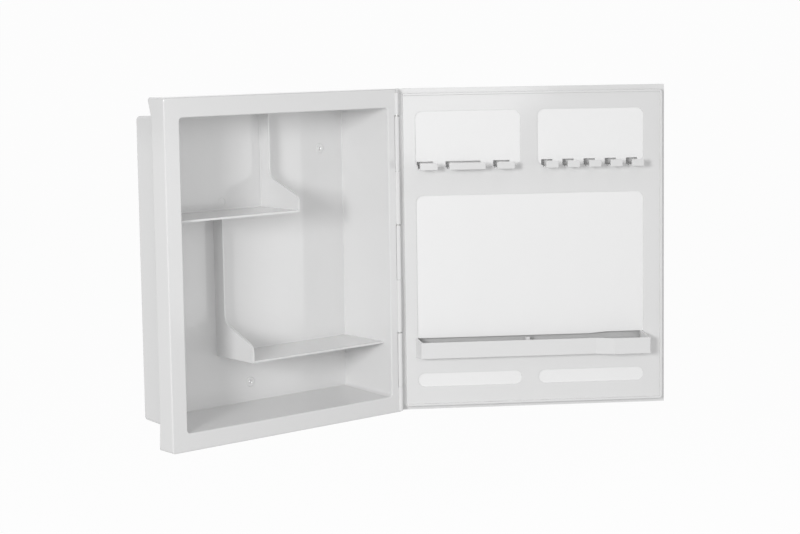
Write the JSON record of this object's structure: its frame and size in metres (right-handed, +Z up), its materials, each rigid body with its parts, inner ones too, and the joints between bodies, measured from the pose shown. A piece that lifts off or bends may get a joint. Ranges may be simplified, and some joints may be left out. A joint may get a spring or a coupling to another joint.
{
  "type": "mirrored medicine cabinet",
  "caption": "White plastic medicine cabinet with an open mirrored door, stepped shelves, a recess box, door hooks and a door tray.",
  "frame": {"origin": "middle of the flat back face of the recess box, on the centre line of the cabinet's opening", "axes": "+X along the width towards the hinge side, +Y into the wall, +Z up; rest pose is the door open by 145.2 degrees as pictured"},
  "size_m": [0.7453, 0.3416, 0.48],
  "materials": {
    "white_plastic": "glossy",
    "white_sheet": "satin",
    "steel_rod": "satin",
    "foam_tape": "matte",
    "mirror_glass": "polished"
  },
  "bodies": {
    "cabinet": {"cabinet_body": "white_plastic", "upper_shelf": "white_plastic", "lower_shelf": "white_plastic", "hinge_rod": "steel_rod"},
    "door": {"door_panel": "white_plastic", "backing_sheet": "white_sheet", "mirror_tape_top": "foam_tape", "mirror_tape_bottom": "foam_tape", "mirror_tape_hinge_side": "foam_tape", "mirror_tape_free_side": "foam_tape", "mirror": "mirror_glass", "tray": "white_plastic", "small_holder_near_hinge": "white_plastic", "wide_holder": "white_plastic", "small_holder_far": "white_plastic", "brush_hook_1": "white_plastic", "brush_hook_2": "white_plastic", "brush_hook_3": "white_plastic", "brush_hook_4": "white_plastic", "brush_hook_5": "white_plastic"}
  },
  "joints": [
    {"name": "door_hinge", "type": "hinge", "parent": "cabinet", "child": "door", "pos_m": [0.1973, -0.11, 0], "axis": [0, 0, 1], "range_deg": [-145.2, 17.8]}
  ]
}
